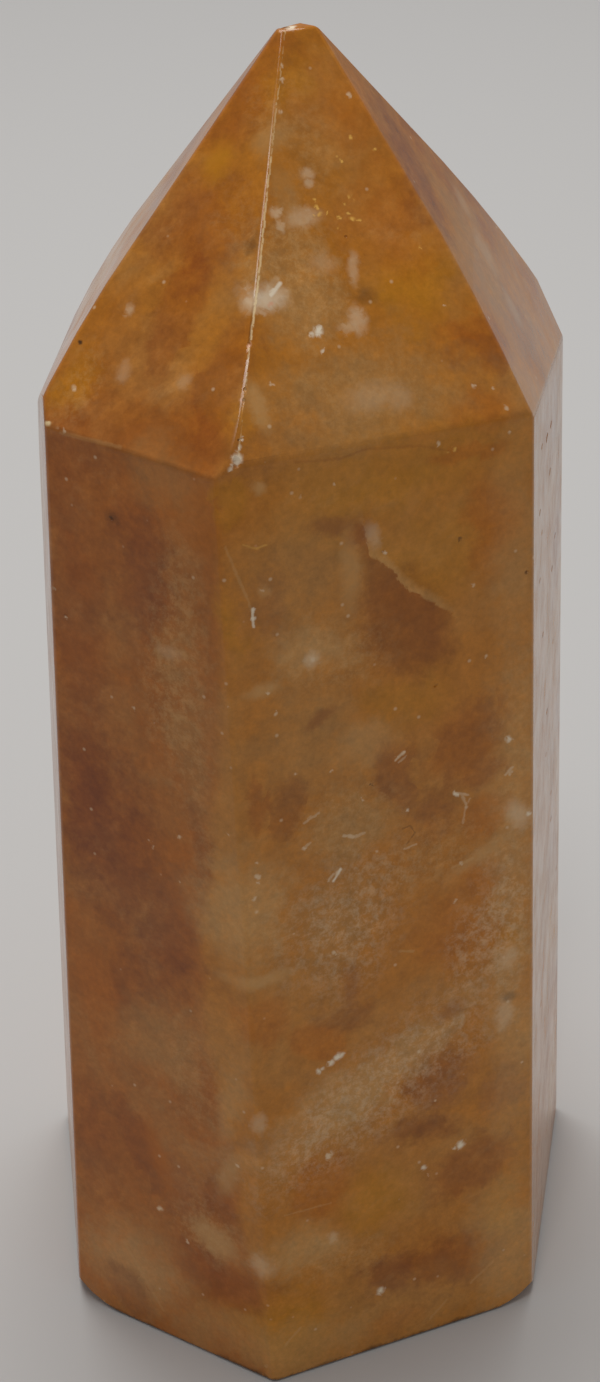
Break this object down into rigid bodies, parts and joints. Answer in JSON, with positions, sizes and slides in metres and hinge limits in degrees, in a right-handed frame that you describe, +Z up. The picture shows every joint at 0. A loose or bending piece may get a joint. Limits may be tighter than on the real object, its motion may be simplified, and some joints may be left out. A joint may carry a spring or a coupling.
{
  "type": "polished crystal point",
  "caption": "Polished six-sided tower of cloudy orange-brown calcite with a faceted point and a flat base.",
  "frame": {"origin": "middle of the bounding box on the plane of the flat base", "axes": "+Z up along the stone towards its point, -Y towards the front, the side that the picture looks at"},
  "size_m": [0.034, 0.0378, 0.0809],
  "materials": {
    "orchid_calcite": "polished, cloudy and slightly translucent"
  },
  "bodies": {
    "root": {"calcite_point": "orchid_calcite"}
  },
  "joints": []
}
